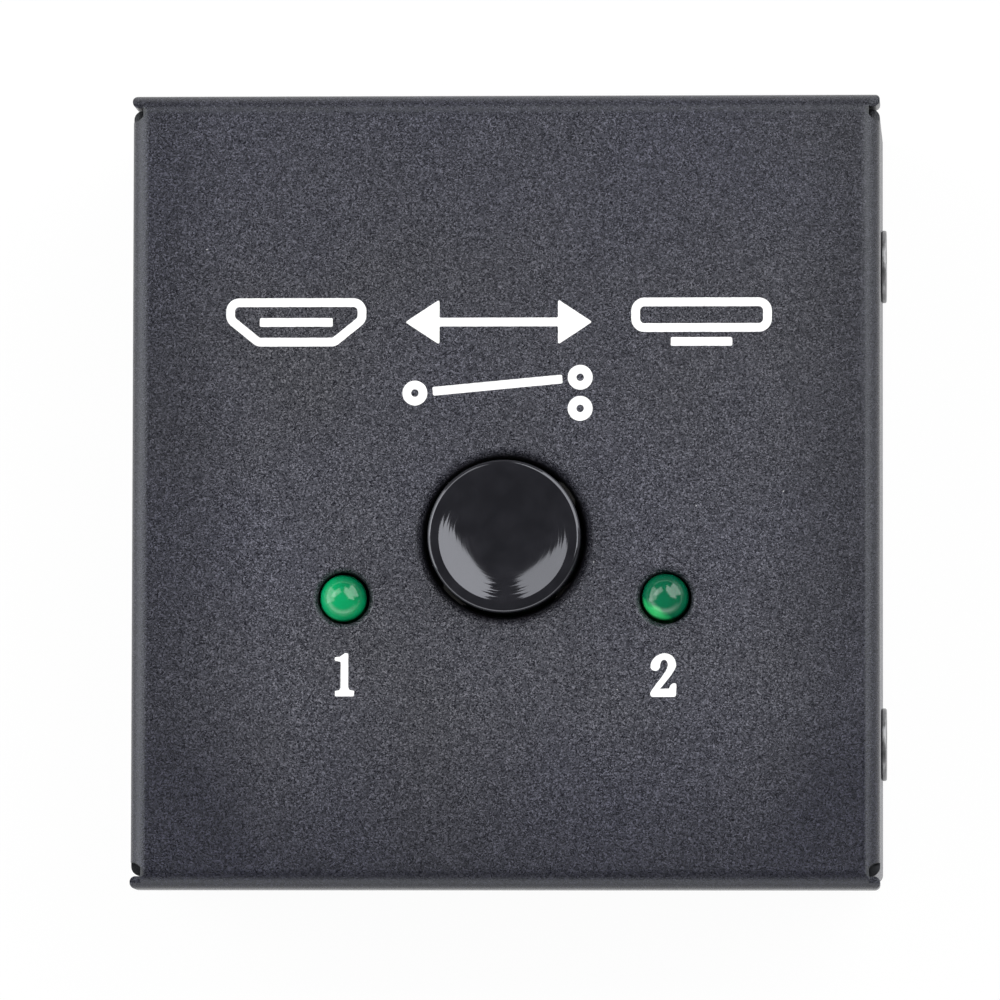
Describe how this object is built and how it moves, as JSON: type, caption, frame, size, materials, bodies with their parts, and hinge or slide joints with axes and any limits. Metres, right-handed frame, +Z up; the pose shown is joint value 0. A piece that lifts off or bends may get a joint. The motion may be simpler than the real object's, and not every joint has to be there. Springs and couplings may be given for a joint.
{
  "type": "two-way video selector box",
  "caption": "Small folded steel box with video ports on two opposite sides, a round dished push button and green indicator lamps on top, for choosing one of two video sources.",
  "frame": {"origin": "middle of the box's underside, on the table", "axes": "+Z up through the button, -Y towards the two numbered ports, +X to the right when the numbered ports face the viewer"},
  "size_m": [0.0488, 0.051, 0.0192],
  "materials": {
    "coated_steel": "fine textured charcoal powder coat",
    "dark_screw": "black oxide steel",
    "nickel": "nickel plated",
    "brass": "turned brass",
    "contact_gold": "gold plated",
    "board": "green solder mask",
    "black_plastic": "black moulded plastic",
    "white_plastic": "white moulded plastic",
    "black_gloss": "polished black plastic",
    "green_lens": "tinted diffused lens",
    "tinned_wire": "tinned",
    "spring_steel": "drawn wire",
    "ceramic": "fired ceramic"
  },
  "bodies": {
    "case": {"top_cover": "coated_steel", "base_tray": "coated_steel", "side_screws": "dark_screw", "board_standoffs": "brass", "board_screws": "nickel", "circuit_board": "board", "port_1_shell": "nickel", "port_1_insulator": "black_plastic", "port_1_contacts": "contact_gold", "port_2_shell": "nickel", "port_2_insulator": "black_plastic", "port_2_contacts": "contact_gold", "port_common_shell": "nickel", "port_common_insulator": "black_plastic", "port_common_contacts": "contact_gold", "lamp_1_lens": "green_lens", "lamp_1_leads": "tinned_wire", "lamp_2_lens": "green_lens", "lamp_2_leads": "tinned_wire", "switch_housing": "black_plastic", "switch_frame": "nickel", "switch_terminals": "tinned_wire", "switch_return_spring": "spring_steel", "selector_chip": "black_plastic", "selector_chip_leads": "tinned_wire", "surge_arresters": "black_plastic", "chip_capacitors": "ceramic", "chip_resistors": "black_plastic"},
    "button": {"button_cap": "black_gloss", "switch_plunger": "white_plastic", "switch_clips": "contact_gold"},
    "latch": {"latch_pin": "spring_steel"}
  },
  "joints": [
    {"name": "button_press", "type": "slide", "parent": "case", "child": "button", "axis": [0, 0, -1], "range_m": [0, 0.0015], "stiffness_N_per_m": 600, "springref_m": -0.0012, "deforming": ["switch_return_spring"]},
    {"name": "latch_swing", "type": "hinge", "parent": "case", "child": "latch", "pos_m": [0, 0.00005, 0.0064], "axis": [0, 1, 0], "range_deg": [0, 10]}
  ],
  "couplings": [
    {"joint": "latch_swing", "follows": "button_press", "rad_per_m": 116.35}
  ]
}
